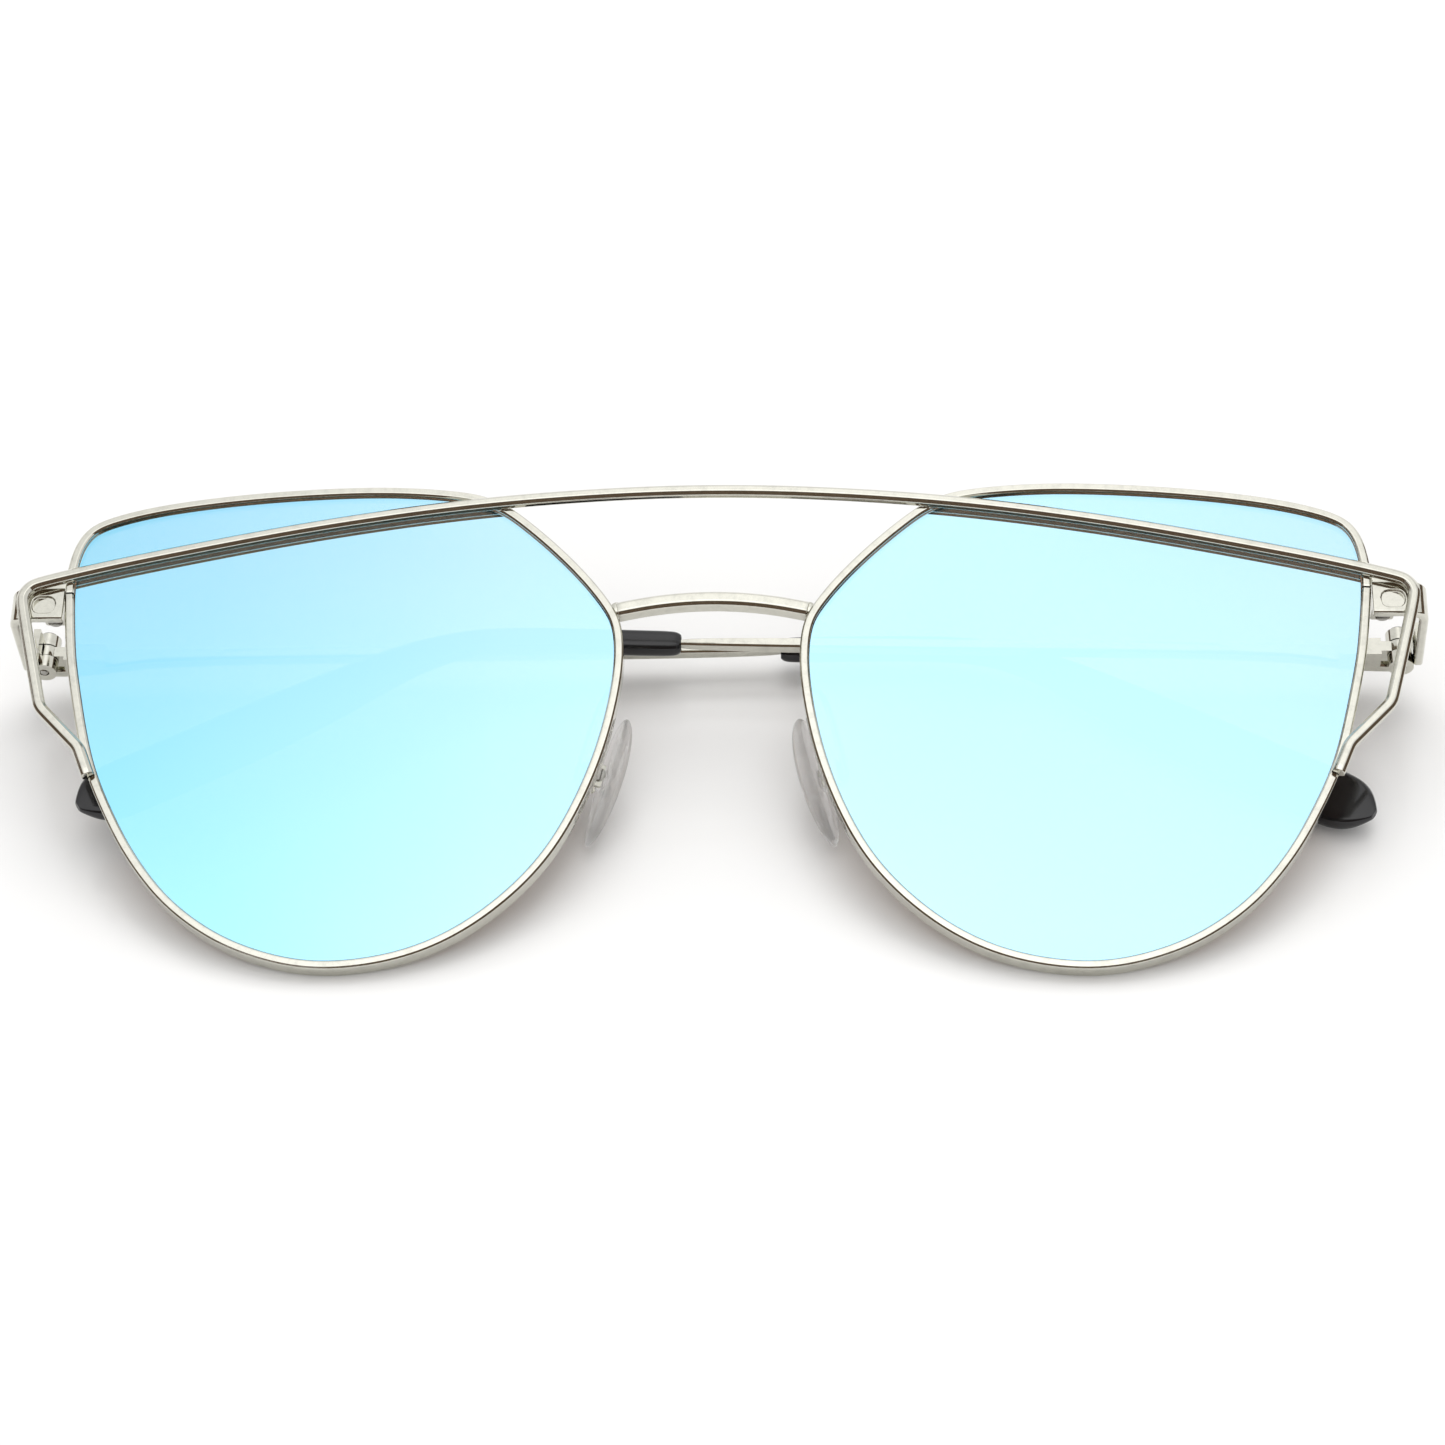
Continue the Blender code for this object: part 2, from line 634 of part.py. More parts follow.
def make_hinge_tongue(side, parent, surface):
    """The temple's half of the hinge: a tongue with an eye, on a foot soldered to the arm."""
    half = TONGUE_HEIGHT / 2
    name = f"hinge_tongue_{SIDE_NAMES[side]}"
    made = new_object(name, prism(circle(KNUCKLE_RADIUS - 0.05, 24), -half, half, "y"), parent, surface)
    inside = ARM_OFFSET - ARM_TAPER[1][1] / 2 - JOINT_GAP - 0.05
    near = temple_point(side, 0.0, -half, -0.9)
    far = temple_point(side, 3.5, half, 0.9)
    boolean(made, box(*ordered(near, far)), "UNION", "tongue")
    near = temple_point(side, 2.0, -1.1, -0.9)
    far = temple_point(side, 6.5, 1.1, inside)
    boolean(made, box(*ordered(near, far)), "UNION", "foot")
    hole = prism(circle(SCREW_RADIUS + SCREW_GAP, 16), -half - 1, half + 1, "y")
    boolean(made, hole, "DIFFERENCE", "hole")
    shade(made, 30)
    return made


def ordered(a, b):
    return [min(p, q) for p, q in zip(a, b)], [max(p, q) for p, q in zip(a, b)]


def make_temple(side, front, metal, plastic):
    swing = OUTER_TEMPLE_REST if side == OUTER_TEMPLE_SIDE else 0.0
    pivot = empty(f"temple_pivot_{SIDE_NAMES[side]}", front)
    pivot.matrix_basis = temple_matrix(side, swing)
    make_temple_arm(side, pivot, metal)
    make_temple_tip(side, pivot, plastic)
    make_hinge_tongue(side, pivot, metal)


# ---------------------------------------------------------------- nose pads

def pad_matrix(side):
    """Frame at a pad's screw: x along the screw, y up the pad and z out of its nose-side face."""
    place = Matrix.Translation(Vector((side * PAD_CENTRE[0], PAD_CENTRE[1], PAD_CENTRE[2])) * MM)
    splay = Matrix.Rotation(side * PAD_SPLAY, 4, "Z")
    turn = Matrix.Rotation(side * (PAD_TWIST - math.pi), 4, "Y")
    return place @ splay @ turn


def make_pad(side, parent, surface):
    """A thin drop-shaped cushion with a drilled boss on its back."""
    width, height, thick = PAD_SIZE
    made = bmesh.new()
    bmesh.ops.create_uvsphere(made, u_segments=16, v_segments=12, radius=0.5)
    for vert in made.verts:
        across, up, out = vert.co.x, vert.co.z, vert.co.y
        narrow = 1.0 + 0.3 * up
        bulge = 0.15 * (1 - 4 * up * up)
        lift = PAD_SCREW_REACH + (out * (1.0 - 0.3 * (out < 0)) + bulge - 0.1) * thick
        vert.co = Vector((across * width * narrow, up * height, lift)) * MM
    bmesh.ops.recalc_face_normals(made, faces=made.faces)
    pad = new_object(f"nose_pad_{SIDE_NAMES[side]}", made, parent, surface)
    along, tall, out = PAD_BOSS
    boss = box((-along / 2, -tall / 2, PAD_SCREW_REACH - out - 0.75), (along / 2, tall / 2, PAD_SCREW_REACH))
    boolean(pad, boss, "UNION", "boss")
    hole = prism(circle(PAD_SCREW_RADIUS + SCREW_GAP, 12), -3, 3, "x")
    boolean(pad, hole, "DIFFERENCE", "hole")
    shade(pad, 50)
    return pad


def make_pad_box(side, parent, surface):
    """A small open clevis round the pad's boss."""
    inner = PAD_BOSS[0] / 2 + PAD_BOX_GAP
    half = inner + PAD_BOX_WALL
    tall = PAD_BOX_HEIGHT / 2
    back = -1.0 - PAD_BOX_WALL
    made = new_object(
        f"pad_box_{SIDE_NAMES[side]}", box((-half, -tall, back), (half, tall, 0.55)), parent, surface
    )
    boolean(made, box((-inner, -tall - 1, -1.0), (inner, tall + 1, 3.0)), "DIFFERENCE", "slot")
    hole = prism(circle(PAD_SCREW_RADIUS + SCREW_GAP, 12), -3, 3, "x")
    boolean(made, hole, "DIFFERENCE", "hole")
    made.matrix_basis = pad_matrix(side)
    shade(made, 30)
    return made


def make_pad_screw(side, parent, surface):
    half = PAD_BOSS[0] / 2 + PAD_BOX_GAP + PAD_BOX_WALL
    place = pad_matrix(side) @ Matrix.Rotation(-side * math.pi / 2, 4, "Z")
    place = place @ Matrix.Translation((0, (half + JOINT_GAP) * MM, 0))
    return make_screw(f"pad_screw_{SIDE_NAMES[side]}", parent, surface, place, PAD_SCREW_RADIUS, 2 * half + 0.1, 0.7, 0.4)


def make_pad_wire(side, parent, surface):
    """A bent wire from the back of the rim to the pad's box."""
    box_back = pad_matrix(side) @ (Vector((0, 0, -1.0 - PAD_BOX_WALL - JOINT_GAP - PAD_WIRE_RADIUS)) * MM) / MM
    foot = Vector((side * PAD_WIRE_FOOT[0], *PAD_WIRE_FOOT[1:]))
    bend = Vector((side * PAD_WIRE_BEND[0], *PAD_WIRE_BEND[1:]))
    loop = Vector((side * PAD_WIRE_LOOP[0], *PAD_WIRE_LOOP[1:]))
    below = box_back + Vector((0, -1.2, 0))
    path = spline([foot, bend, loop, box_back, below], 4)
    made = sweep(path, circle(PAD_WIRE_RADIUS, 8), (0, 1, 0.3))
    wire = new_object(f"pad_arm_{SIDE_NAMES[side]}", made, parent, surface)
    shade(wire, 50)
    return wire


def make_nose_pad(side, front, metal, silicone, steel):
    pivot = empty(f"pad_pivot_{SIDE_NAMES[side]}", front)
    pivot.matrix_basis = pad_matrix(side)
    make_pad(side, pivot, silicone)
    make_pad_box(side, front, metal)
    make_pad_screw(side, front, steel)
    make_pad_wire(side, front, metal)


# ---------------------------------------------------------------- assembly

def clear_scene():
    for old in list(bpy.data.objects):
        bpy.data.objects.remove(old, do_unlink=True)


def main():
    clear_scene()
    metal = silver()
    lens = mirrored_blue()
    plastic = black_plastic()
    silicone = clear_silicone()
    steel = screw_steel()

    front = empty("front_frame")
    front.matrix_world = Matrix.Translation(Vector(FRONT_ORIGIN) * MM) @ Matrix.Rotation(FRONT_TILT, 4, "X")
    make_brow_bar(front, metal)
    make_bridge(front, metal)
    for side in (LEFT, RIGHT):
        make_rim(side, front, metal)
        make_lens(side, front, lens)
        make_endpiece(side, front, metal)
        make_closing_block(side, True, front, metal)
        make_closing_block(side, False, front, metal)
        make_closing_screw(side, front, steel)
        make_hinge_knuckles(side, front, metal)
        make_hinge_screw(side, front, steel)
        make_temple(side, front, metal, plastic)
        make_nose_pad(side, front, metal, silicone, steel)


main()
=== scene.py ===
"""Folded mirrored sunglasses on a white table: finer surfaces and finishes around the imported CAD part."""

import math

import bmesh
import bpy
from mathutils import Matrix, Vector


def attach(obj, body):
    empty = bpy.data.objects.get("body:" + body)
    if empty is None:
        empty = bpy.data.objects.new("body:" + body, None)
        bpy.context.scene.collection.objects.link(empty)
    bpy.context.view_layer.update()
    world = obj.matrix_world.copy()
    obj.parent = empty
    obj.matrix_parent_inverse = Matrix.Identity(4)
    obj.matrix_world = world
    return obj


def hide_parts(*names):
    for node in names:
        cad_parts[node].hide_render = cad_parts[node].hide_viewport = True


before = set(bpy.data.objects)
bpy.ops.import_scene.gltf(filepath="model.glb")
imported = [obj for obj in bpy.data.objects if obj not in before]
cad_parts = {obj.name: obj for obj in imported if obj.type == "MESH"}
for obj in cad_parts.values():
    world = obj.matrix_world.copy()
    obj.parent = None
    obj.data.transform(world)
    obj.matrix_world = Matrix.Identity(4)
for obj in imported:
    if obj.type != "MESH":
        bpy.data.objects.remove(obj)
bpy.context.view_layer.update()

MM = 0.001
SIDES = ("left", "right")
FRONT_TILT = math.radians(21.5)  # how far the front leans back from lying flat
SHARP = 28.0  # degrees between two faces that makes their edge a sharp one
LENS_SHARP = 20.0  # the same, for the lens's shallow bevel
WELD = 2e-6  # corners of a CAD mesh nearer than this are one corner
PAIR_FLAT = 4.0  # degrees within which two triangles are one quad, and how skewed that quad may be
PAIR_SKEW = 89.0
FLAT = 0.5  # degrees under which two faces of a hard part are one flat face
LENS_FLAT = 0.2
SMOOTHING = 2  # subdivisions of a rod, a moulded piece or a lens
ROD_EDGE = 0.07  # widths of the rounded edges, in millimetres
PART_EDGE = 0.12
SCREW_EDGE = 0.04
ROD_EDGE_STEPS = 2
PART_EDGE_STEPS = 3
FLATS_WEIGHT = 65  # how far large faces decide the shading around them, and which faces count as alike
FLATS_ALIKE = 0.3
BRIDGE_END = 0.3  # how much of each end of the bridge the solder is centred on, in millimetres
SOLDER_RADII = (0.9, 0.95, 0.62)  # along X, up the front, and out of the front, in millimetres
SOLDER_STEPS = 12
SOLDER_ROWS = 7
SOLDER_SMOOTHING = 1
FACES_FRONT = 0.9  # cosine of the angle to the front's normal above which a lens's face is its mirrored one
FRONT_NORMAL = Vector((0.0, -math.sin(FRONT_TILT), math.cos(FRONT_TILT)))

# Camera: where it stands, where it looks, how far it is rolled, and its lens and sensor in millimetres.
CAMERA_PLACE = Vector((18.75, -291.17, 256.525)) * MM
CAMERA_TARGET = Vector((1.323, -0.854, 11.958)) * MM
CAMERA_ROLL = math.radians(-2.4)
CAMERA_LENS = 92.25
CAMERA_SENSOR = 36.0
CAMERA_SEES = (0.01, 50.0)  # nearest and farthest

# Light: a softbox overhead that fades sideways, a key light, an even white room, and dark flags.
ROOM_LEVEL = 0.9
SOFTBOX_PLACE = (0.0, 0.1, 1.0)
SOFTBOX_SIZE = 1.3
SOFTBOX_LEVEL = 1.72
SOFTBOX_BAND = (-0.06, 0.085)  # the depth, front to back, over which the glow gets narrower and weaker
SOFTBOX_CENTRE = (0.0, 0.03)  # sideways, at the front and the back of that band
SOFTBOX_WIDTH = (0.42, 0.29)
SOFTBOX_SHARE = (1.0, 0.6)
KEY_POWER = 2.2
KEY_SIZE = 0.6
KEY_PLACE = Vector((0.1, 0.35, 0.8))
TABLE_SIZE = 12.0
FLAGS = (  # name, width, height, place, turn in degrees
    ("flag_front", 2.4, 1.0, (0.0, -0.9, 0.53), 0.0),
    ("flag_left", 1.8, 0.34, (-0.95, 0.0, 0.19), 90.0),
    ("flag_right", 1.8, 0.34, (0.95, 0.0, 0.19), 90.0),
)
FLAG_COLOUR = (0.12, 0.083, 0.056, 1.0)

# Finishes. Pairs of colours are the two ends of a slight mottling.
SILVER = ((0.66, 0.65, 0.58), 0.07, 0.05)  # colour, roughness, depth of the polishing lines
STEEL = ((0.46, 0.45, 0.42), 0.2, 0.15)
# The two ends of the film's blue. The change between them is painted reflection, deeper at the far left of
# the left lens.
FILM_DEEP = (0.275, 0.68, 0.90)
FILM_PALE = (0.41, 0.685, 0.86)
FILM_PAINTED_TINT_BAND = (-0.068, -0.022)  # sideways, where a painted reflection tint turns the film from its deeper blue to its paler one
FILM_PASSES = ((0.14, 0.105, 0.075), (0.16, 0.12, 0.085))
SMOKE = ((0.60, 0.48, 0.40), (0.64, 0.52, 0.44))
SMOKE_GLOSS = (0.9, 0.88, 0.86, 1.0)
PLASTIC_IOR = 1.5
TIP_BLACK = ((0.006, 0.006, 0.007), (0.016, 0.016, 0.018))
PAD_CLEAR = ((0.93, 0.92, 0.91), (0.99, 0.985, 0.98))
PAD_IOR = 1.4
PAD_ALPHA = 0.7
TABLE_WHITE = ((0.865, 0.86, 0.853), (0.88, 0.875, 0.868))
TABLE_ROUGHNESS = 0.8
TABLE_GLOSS = 0.06


# ---------------------------------------------------------------- material helpers

class Nodes:
    """Short calls that add and join shader nodes in one tree."""

    def __init__(self, tree):
        self.tree = tree

    def add(self, kind, **inputs):
        node = self.tree.nodes.new(kind)
        for name, value in inputs.items():
            self.feed(node.inputs[name.replace("_", " ")], value)
        return node

    def feed(self, socket, value):
        if isinstance(value, bpy.types.NodeSocket):
            self.tree.links.new(value, socket)
        else:
            socket.default_value = value

    def place(self):
        return self.add("ShaderNodeTexCoord").outputs["Object"]

    def noise(self, scale, detail=3.0, roughness=0.5, stretch=None):
        where = self.place()
        if stretch is not None:
            mapping = self.add("ShaderNodeMapping", Vector=where)
            mapping.inputs["Scale"].default_value = stretch
            where = mapping.outputs["Vector"]
        node = self.add("ShaderNodeTexNoise", Vector=where, Scale=scale, Detail=detail, Roughness=roughness)
        return node.outputs["Fac"]

    def remap(self, value, low, high, to_low, to_high):
        node = self.add("ShaderNodeMapRange", Value=value)
        for name, number in (("From Min", low), ("From Max", high), ("To Min", to_low), ("To Max", to_high)):
            node.inputs[name].default_value = number
        return node.outputs["Result"]

    def ramp(self, value, stops):
        node = self.add("ShaderNodeValToRGB", Fac=value)
        elements = node.color_ramp.elements
        for i, (at, colour) in enumerate(stops):
            element = elements[i] if i < 2 else elements.new(at)
            element.position = at
            element.color = (*colour, 1.0)
        return node.outputs["Color"]

    def mottled(self, value, low, high, colours):
        return self.ramp(value, ((low, colours[0]), (high, colours[1])))

    def math(self, operation, a, b):
        node = self.add("ShaderNodeMath")
        node.operation = operation
        self.feed(node.inputs[0], a)
        self.feed(node.inputs[1], b)
        return node.outputs["Value"]

    def bump(self, height, strength, distance):
        node = self.add("ShaderNodeBump", Height=height, Strength=strength, Distance=distance)
        return node.outputs["Normal"]


def new_material(name):
    """A material with its node helper and its Principled shader."""
    made = bpy.data.materials.new(name)
    made.use_nodes = True
    nodes = Nodes(made.node_tree)
    return made, nodes, made.node_tree.nodes["Principled BSDF"]


def polished_silver(name, colour, roughness, scratches):
    """Plated metal: fine polishing lines, faint smudges, and slightly duller and paler patches."""
    made, nodes, shader = new_material(name)
    smudge = nodes.noise(220.0, 4.0, 0.6)
    grain = nodes.noise(2600.0, 2.0, 0.5, (1.0, 7.0, 7.0))
    worn = nodes.noise(900.0, 5.0, 0.65)
    pale = tuple(min(1.0, c * 1.06) for c in colour)
    dull = tuple(c * 0.9 for c in colour)
    tint = nodes.ramp(worn, ((0.32, dull), (0.5, colour), (0.75, pale)))
    nodes.feed(shader.inputs["Base Color"], tint)
    rough = nodes.math("ADD", nodes.remap(smudge, 0.35, 0.7, roughness * 0.6, roughness * 1.5),
                       nodes.remap(grain, 0.4, 0.7, 0.0, roughness * 0.5))
    nodes.feed(shader.inputs["Roughness"], rough)
    shader.inputs["Metallic"].default_value = 1.0
    nodes.feed(shader.inputs["Normal"], nodes.bump(grain, scratches, 0.00002))
    return made


def shown(made, nodes, surface):
    """Makes this shader the one that the surface shows."""
    output = made.node_tree.nodes["Material Output"]
    nodes.feed(output.inputs["Surface"], surface)


def mirror_coating():
    """Sky blue mirror film: what it doesn't reflect passes through, mostly red and brown. Its blue is painted
    deeper towards the far left, a painted reflection tint.
    """
    made, nodes, shader = new_material("lens_mirror_coating")
    drift = nodes.noise(28.0, 2.0, 0.4)
    # Painted reflection: the film's blue is painted deeper sideways towards the far left, on top of a random
    # drift.
    sideways = nodes.add("ShaderNodeSeparateXYZ", Vector=nodes.place()).outputs["X"]
    drift_and_painted_paleness = nodes.math("ADD", nodes.remap(sideways, *FILM_PAINTED_TINT_BAND, 0.0, 0.9),
                          nodes.remap(drift, 0.3, 0.7, 0.0, 0.1))
    film = nodes.ramp(drift_and_painted_paleness, ((0.0, FILM_DEEP), (1.0, FILM_PALE)))
    nodes.feed(shader.inputs["Base Color"], film)
    smudge = nodes.noise(160.0, 5.0, 0.6)
    nodes.feed(shader.inputs["Roughness"], nodes.remap(smudge, 0.4, 0.75, 0.0, 0.035))
    ripple = nodes.noise(55.0, 1.0, 0.4)
    nodes.feed(shader.inputs["Normal"], nodes.bump(ripple, 0.03, 0.00005))
    shader.inputs["Metallic"].default_value = 1.0
    passed = nodes.mottled(drift, 0.3, 0.7, FILM_PASSES)
    through = nodes.add("ShaderNodeBsdfTransparent", Color=passed)
    both = nodes.add("ShaderNodeAddShader")
    nodes.feed(both.inputs[0], shader.outputs["BSDF"])
    nodes.feed(both.inputs[1], through.outputs["BSDF"])
    shown(made, nodes, both.outputs["Shader"])
    return made


def tinted_lens():
    """The back and edge of the lens: clear brown smoke plastic with a gloss."""
    made, nodes, shader = new_material("lens_tinted_plastic")
    cast = nodes.noise(40.0, 2.0, 0.5)
    tint = nodes.mottled(cast, 0.3, 0.7, SMOKE)
    through = nodes.add("ShaderNodeBsdfTransparent", Color=tint)
    smudge = nodes.noise(170.0, 5.0, 0.6)
    shader.inputs["Base Color"].default_value = SMOKE_GLOSS
    shader.inputs["Metallic"].default_value = 1.0
    nodes.feed(shader.inputs["Roughness"], nodes.remap(smudge, 0.4, 0.75, 0.02, 0.08))
    gloss = nodes.add("ShaderNodeFresnel", IOR=PLASTIC_IOR)
    both = nodes.add("ShaderNodeMixShader", Fac=gloss.outputs["Fac"])
    nodes.feed(both.inputs[1], through.outputs["BSDF"])
    nodes.feed(both.inputs[2], shader.outputs["BSDF"])
    shown(made, nodes, both.outputs["Shader"])
    return made


def black_plastic():
    """Glossy moulded tips with faint rub marks."""
    made, nodes, shader = new_material("glossy_black_tips")
    rub = nodes.noise(340.0, 6.0, 0.7)
    nodes.feed(shader.inputs["Base Color"], nodes.mottled(rub, 0.3, 0.8, TIP_BLACK))
    nodes.feed(shader.inputs["Roughness"], nodes.remap(rub, 0.3, 0.8, 0.10, 0.24))
    fine = nodes.noise(1800.0, 2.0, 0.5)
    nodes.feed(shader.inputs["Normal"], nodes.bump(fine, 0.05, 0.00002))
    shader.inputs["IOR"].default_value = PLASTIC_IOR
    return made


def clear_silicone():
    """Clear soft pads, slightly cloudy inside, with a smooth skin."""
    made, nodes, shader = new_material("clear_silicone_pads")
    cloud = nodes.noise(420.0, 4.0, 0.6)
    nodes.feed(shader.inputs["Base Color"], nodes.mottled(cloud, 0.3, 0.7, PAD_CLEAR))
    nodes.feed(shader.inputs["Roughness"], nodes.remap(cloud, 0.3, 0.8, 0.03, 0.12))
    soft = nodes.noise(700.0, 2.0, 0.5)
    nodes.feed(shader.inputs["Normal"], nodes.bump(soft, 0.08, 0.00005))
    shader.inputs["Transmission Weight"].default_value = 1.0
    shader.inputs["IOR"].default_value = PAD_IOR
    shader.inputs["Alpha"].default_value = PAD_ALPHA
    return made


def white_table():
    """A smooth white sheet with a faint, even gloss."""
    made, nodes, shader = new_material("white_table")
    mottle = nodes.noise(14.0, 3.0, 0.5)
    nodes.feed(shader.inputs["Base Color"], nodes.mottled(mottle, 0.3, 0.7, TABLE_WHITE))
    shader.inputs["Roughness"].default_value = TABLE_ROUGHNESS
    shader.inputs["Specular IOR Level"].default_value = 0.0
    gloss = nodes.add("ShaderNodeBsdfGlossy")
    nodes.feed(gloss.inputs["Roughness"], nodes.remap(mottle, 0.3, 0.7, 0.12, 0.16))
    both = nodes.add("ShaderNodeMixShader", Fac=TABLE_GLOSS)
    nodes.feed(both.inputs[1], shader.outputs["BSDF"])
    nodes.feed(both.inputs[2], gloss.outputs["BSDF"])
    shown(made, nodes, both.outputs["Shader"])
    return made


# ---------------------------------------------------------------- pieces made from the CAD nodes

def as_object(name, mesh_data, surface):
    """An object of one material, made from mesh data that isn't needed after it."""
    mesh = bpy.data.meshes.new(name)
    mesh_data.to_mesh(mesh)
    mesh_data.free()
    mesh.materials.append(surface)
    made = bpy.data.objects.new(name, mesh)
    bpy.context.scene.collection.objects.link(made)
    return made


def quad_copy(node):
    """A CAD node's mesh with doubled corners joined and its triangles paired back into quads."""
    made = bmesh.new()
    made.from_mesh(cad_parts[node].data)
    bmesh.ops.remove_doubles(made, verts=made.verts, dist=WELD)
    bmesh.ops.join_triangles(
        made, faces=made.faces, cmp_seam=False, cmp_sharp=False, cmp_uvs=False, cmp_vcols=False,
        cmp_materials=False, angle_face_threshold=math.radians(PAIR_FLAT),
        angle_shape_threshold=math.radians(PAIR_SKEW),
    )
    return made


def crease(mesh_data, angle):
    """Keeps every edge sharper than this angle as it is when the mesh is subdivided."""
    layer = mesh_data.edges.layers.float.get("crease_edge") or mesh_data.edges.layers.float.new("crease_edge")
    for edge in mesh_data.edges:
        if len(edge.link_faces) == 2 and edge.calc_face_angle(0.0) > angle:
            edge[layer] = 1.0


def place_piece(name, mesh_data, body, surface, node):
    """The piece that is seen in place of a CAD node, riding on the node's body."""
    made = as_object(name, mesh_data, surface)
    made.data.shade_smooth()
    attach(made, body)
    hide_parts(node)
    return made


def subdivided(made, levels):
    """Smooths a piece, the same when shown and when rendered."""
    change = made.modifiers.new("smooth", "SUBSURF")
    change.levels = levels
    change.render_levels = levels


def broken_edges(made, width, segments):
    """Narrow rounded edges between faces that keep their own flat shading."""
    change = made.modifiers.new("edges", "BEVEL")
    change.width = width * MM
    change.segments = segments
    change.limit_method = "ANGLE"
    change.angle_limit = math.radians(SHARP)
    change = made.modifiers.new("flats", "WEIGHTED_NORMAL")
    change.weight = FLATS_WEIGHT
    change.thresh = FLATS_ALIKE


def flowing_piece(node, body, surface):
    """A bent rod: smooth along its length, with flat faces and narrow rounded edges."""
    mesh_data = quad_copy(node)
    crease(mesh_data, math.radians(SHARP))
    made = place_piece(f"{node}_fine", mesh_data, body, surface, node)
    subdivided(made, SMOOTHING)
    broken_edges(made, ROD_EDGE, ROD_EDGE_STEPS)
    return made


def soft_piece(node, body, surface):
    """A moulded or round piece: smooth all over."""
    made = place_piece(f"{node}_fine", quad_copy(node), body, surface, node)
    subdivided(made, SMOOTHING)
    return made


def machined_piece(node, body, surface, width=PART_EDGE):
    """A small hard part with its edges broken."""
    mesh_data = quad_copy(node)
    bmesh.ops.dissolve_limit(
        mesh_data, angle_limit=math.radians(FLAT), verts=mesh_data.verts, edges=mesh_data.edges,
        delimit={"NORMAL"},
    )
    made = place_piece(f"{node}_fine", mesh_data, body, surface, node)
    broken_edges(made, width, PART_EDGE_STEPS)
    return made


def solder_piece(name, centre, surface):
    """A small smooth bead where two rods meet."""
    mesh_data = bmesh.new()
    turn = Matrix.Rotation(FRONT_TILT, 3, "X")
    rings = []
    for row in range(1, SOLDER_ROWS):
        polar = math.pi * row / SOLDER_ROWS
        ring = []
        for step in range(SOLDER_STEPS):
            around = 2 * math.pi * step / SOLDER_STEPS
            unit = (math.sin(polar) * math.cos(around), math.sin(polar) * math.sin(around), math.cos(polar))
            local = Vector([radius * MM * part for radius, part in zip(SOLDER_RADII, unit)])
            ring.append(mesh_data.verts.new(centre + turn @ local))
        rings.append(ring)
    for upper, lower in zip(rings, rings[1:]):
        for step in range(SOLDER_STEPS):
            after = (step + 1) % SOLDER_STEPS
            mesh_data.faces.new((upper[step], lower[step], lower[after], upper[after]))
    mesh_data.faces.new(rings[0])
    mesh_data.faces.new(list(reversed(rings[-1])))
    bmesh.ops.recalc_face_normals(mesh_data, faces=mesh_data.faces)
    made = as_object(name, mesh_data, surface)
    made.data.shade_smooth()
    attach(made, "front")
    subdivided(made, SOLDER_SMOOTHING)
    return made


def lens_piece(side, coating, tinted):
    """A lens with the mirror film on its front face and tinted plastic everywhere else."""
    node = f"lens_{side}"
    mesh_data = quad_copy(node)
    bmesh.ops.dissolve_limit(
        mesh_data, angle_limit=math.radians(LENS_FLAT), verts=mesh_data.verts, edges=mesh_data.edges,
        delimit={"NORMAL"},
    )
    crease(mesh_data, math.radians(LENS_SHARP))
    made = place_piece(f"{node}_fine", mesh_data, "front", coating, node)
    made.data.materials.append(tinted)
    for face in made.data.polygons:
        face.material_index = 0 if face.normal.dot(FRONT_NORMAL) > FACES_FRONT else 1
        face.use_smooth = abs(face.normal.dot(FRONT_NORMAL)) < FACES_FRONT
    subdivided(made, SMOOTHING)
    return made


# ---------------------------------------------------------------- stage

def stage_plane(name, width, depth, surface):
    """A flat sheet that isn't part of the object."""
    mesh_data = bmesh.new()
    quarters = ((-1, -1), (1, -1), (1, 1), (-1, 1))
    mesh_data.faces.new([mesh_data.verts.new((x * width / 2, y * depth / 2, 0.0)) for x, y in quarters])
    made = as_object(name, mesh_data, surface)
    return made


def softbox_glow():
    """Light that is brightest over the table's middle and fades to the room's own level at its edges."""
    made = bpy.data.materials.new("softbox_glow")
    made.use_nodes = True
    tree = made.node_tree
    tree.nodes.clear()
    nodes = Nodes(tree)
    split = nodes.add("ShaderNodeSeparateXYZ", Vector=nodes.place())

    def along_band(ends):
        return nodes.remap(split.outputs["Y"], *SOFTBOX_BAND, *ends)

    offset = nodes.math("SUBTRACT", split.outputs["X"], along_band(SOFTBOX_CENTRE))
    across = nodes.math("DIVIDE", offset, along_band(SOFTBOX_WIDTH))
    fade = nodes.math("POWER", math.e, nodes.math("MULTIPLY", nodes.math("MULTIPLY", across, across), -1.0))
    share = nodes.math("MULTIPLY", fade, along_band(SOFTBOX_SHARE))
    extra = nodes.math("MULTIPLY", share, SOFTBOX_LEVEL - ROOM_LEVEL)
    glow = nodes.add("ShaderNodeEmission", Strength=nodes.math("ADD", extra, ROOM_LEVEL))
    output = nodes.add("ShaderNodeOutputMaterial")
    tree.links.new(glow.outputs["Emission"], output.inputs["Surface"])
    return made


def flat_dark():
    """The flags' dull dark brown."""
    made = bpy.data.materials.new("black_flag")
    made.use_nodes = True
    shader = made.node_tree.nodes["Principled BSDF"]
    shader.inputs["Base Color"].default_value = FLAG_COLOUR
    shader.inputs["Roughness"].default_value = 1.0
    return made


def dark_flag(name, width, height, place, turn, surface):
    """An upright dark card that only reflections see."""
    flag = stage_plane(name, width, height, surface)
    flag.location = place
    flag.rotation_euler = (math.radians(90), 0.0, math.radians(turn))
    for seen in ("visible_camera", "visible_diffuse", "visible_shadow", "visible_transmission"):
        setattr(flag, seen, False)


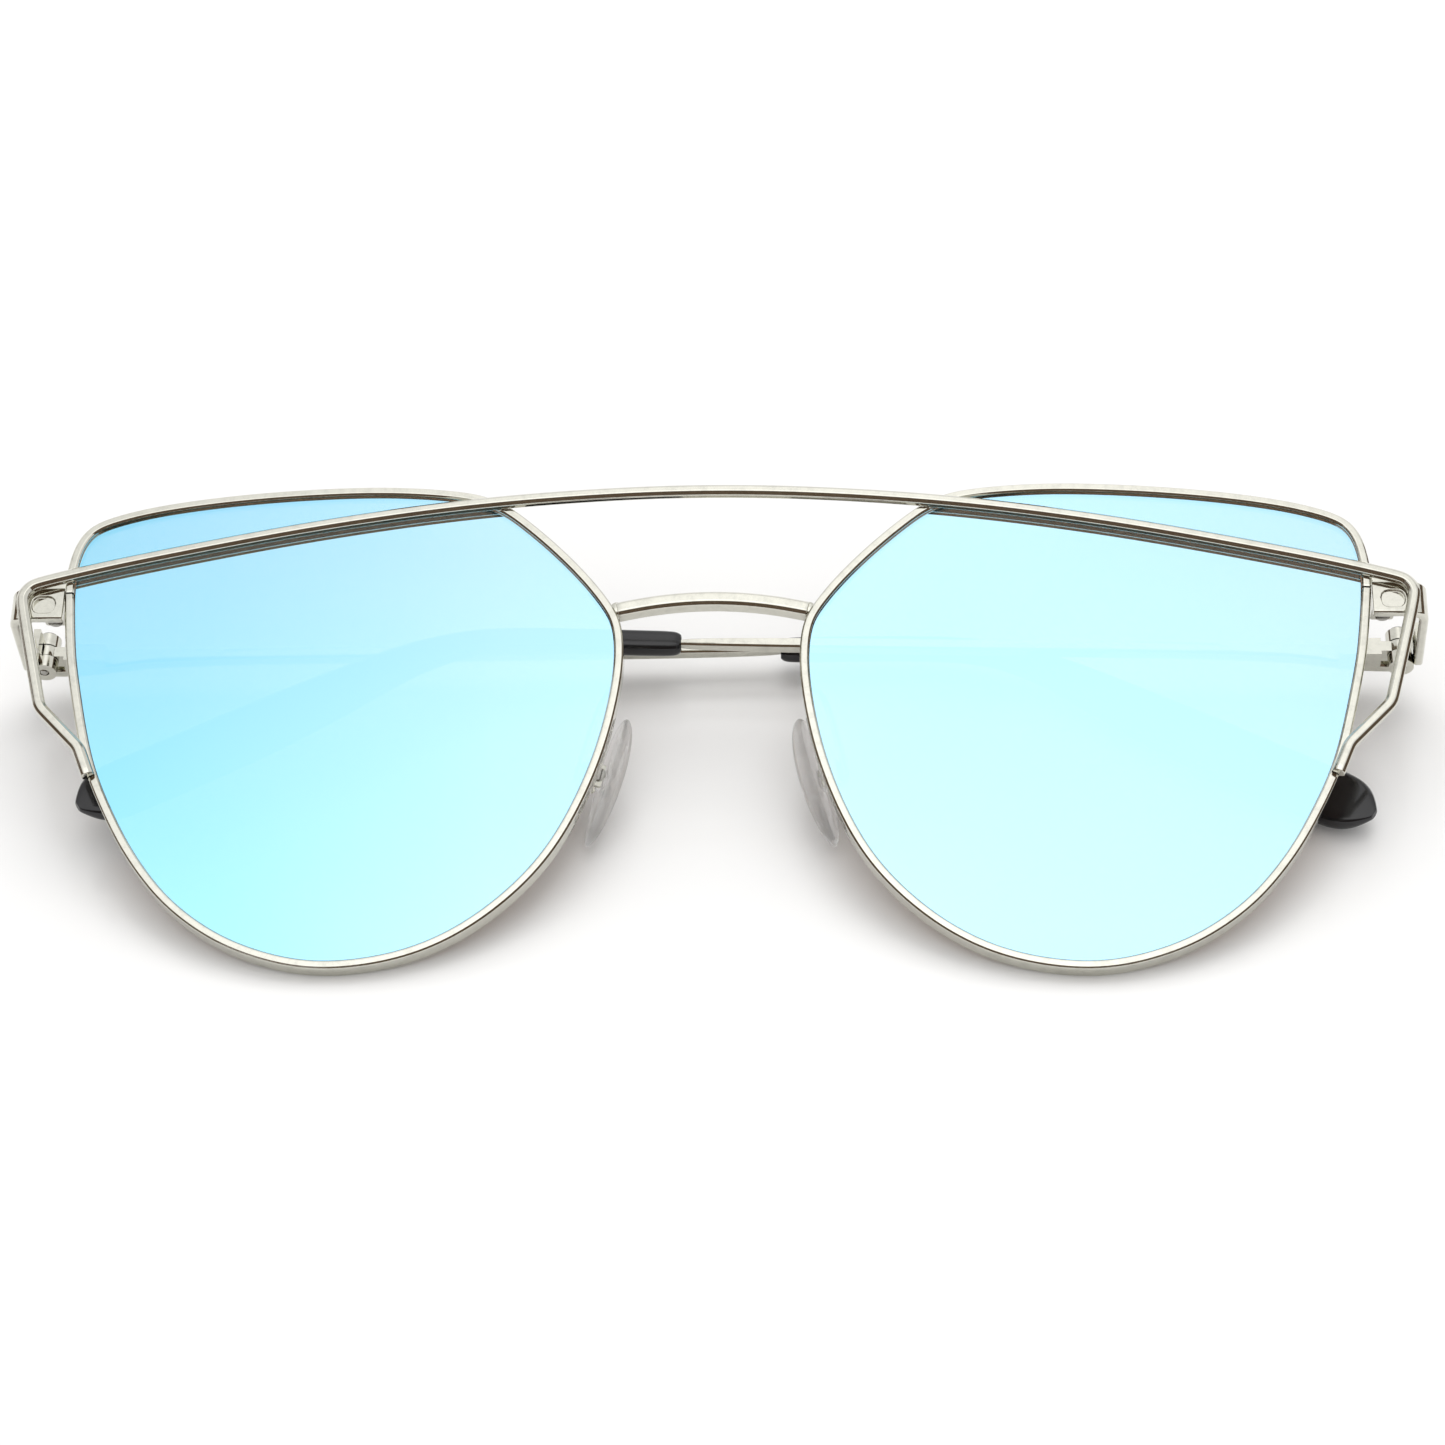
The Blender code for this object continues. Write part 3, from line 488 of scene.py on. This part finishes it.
def build_stage():
    """The table, the light above it and the cards beside it."""
    stage_plane("table", TABLE_SIZE, TABLE_SIZE, white_table())
    softbox = stage_plane("softbox", SOFTBOX_SIZE, SOFTBOX_SIZE, softbox_glow())
    softbox.location = SOFTBOX_PLACE
    softbox.visible_camera = False
    dark = flat_dark()
    for name, width, height, place, turn in FLAGS:
        dark_flag(name, width, height, place, turn, dark)

    key = bpy.data.lights.new("key", "AREA")
    key.shape = "SQUARE"
    key.size = KEY_SIZE
    key.energy = KEY_POWER
    lamp = bpy.data.objects.new("key", key)
    lamp.location = KEY_PLACE
    lamp.rotation_euler = (-KEY_PLACE).to_track_quat("-Z", "Y").to_euler()
    lamp.visible_glossy = False
    lamp.visible_camera = False
    bpy.context.scene.collection.objects.link(lamp)

    world = bpy.data.worlds.new("white_room")
    world.use_nodes = True
    room = world.node_tree.nodes["Background"]
    room.inputs["Color"].default_value = (1.0, 1.0, 1.0, 1.0)
    room.inputs["Strength"].default_value = ROOM_LEVEL
    bpy.context.scene.world = world
    bpy.context.scene.view_settings.view_transform = "Standard"


def build_camera():
    """The view across the front, from above and nearly straight on."""
    data = bpy.data.cameras.new("camera")
    data.lens = CAMERA_LENS
    data.sensor_width = CAMERA_SENSOR
    data.clip_start, data.clip_end = CAMERA_SEES
    camera = bpy.data.objects.new("camera", data)
    bpy.context.scene.collection.objects.link(camera)
    aim = (CAMERA_TARGET - CAMERA_PLACE).to_track_quat("-Z", "Y").to_matrix().to_4x4()
    camera.matrix_world = Matrix.Translation(CAMERA_PLACE) @ aim @ Matrix.Rotation(CAMERA_ROLL, 4, "Z")
    bpy.context.scene.camera = camera


# ---------------------------------------------------------------- object

def build_object():
    """Every piece of the sunglasses, and the solder where the bridge meets the rims."""
    silver = polished_silver("polished_silver", *SILVER)
    steel = polished_silver("screw_steel", *STEEL)
    coating = mirror_coating()
    tinted = tinted_lens()
    black = black_plastic()
    clear = clear_silicone()

    flowing_piece("brow_bar", "front", silver)
    flowing_piece("bridge", "front", silver)
    for side, way in zip(SIDES, (-1, 1)):
        flowing_piece(f"rim_{side}", "front", silver)
        lens_piece(side, coating, tinted)
        for node in ("endpiece", "rim_block_upper", "rim_block_lower", "hinge_knuckles", "pad_box"):
            machined_piece(f"{node}_{side}", "front", silver)
        for node in ("rim_screw", "hinge_screw", "pad_screw"):
            machined_piece(f"{node}_{side}", "front", steel, SCREW_EDGE)
        soft_piece(f"pad_arm_{side}", "front", silver)
        flowing_piece(f"temple_arm_{side}", f"temple_{side}", silver)
        machined_piece(f"hinge_tongue_{side}", f"temple_{side}", silver)
        soft_piece(f"temple_tip_{side}", f"temple_{side}", black)
        soft_piece(f"nose_pad_{side}", f"nose_pad_{side}", clear)
        corners = [vert.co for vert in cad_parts["bridge"].data.vertices]
        end = max(way * corner.x for corner in corners)
        tip = [corner for corner in corners if way * corner.x > end - BRIDGE_END * MM]
        solder_piece(f"bridge_solder_{side}", sum(tip, Vector()) / len(tip), silver)


build_object()
build_stage()
build_camera()
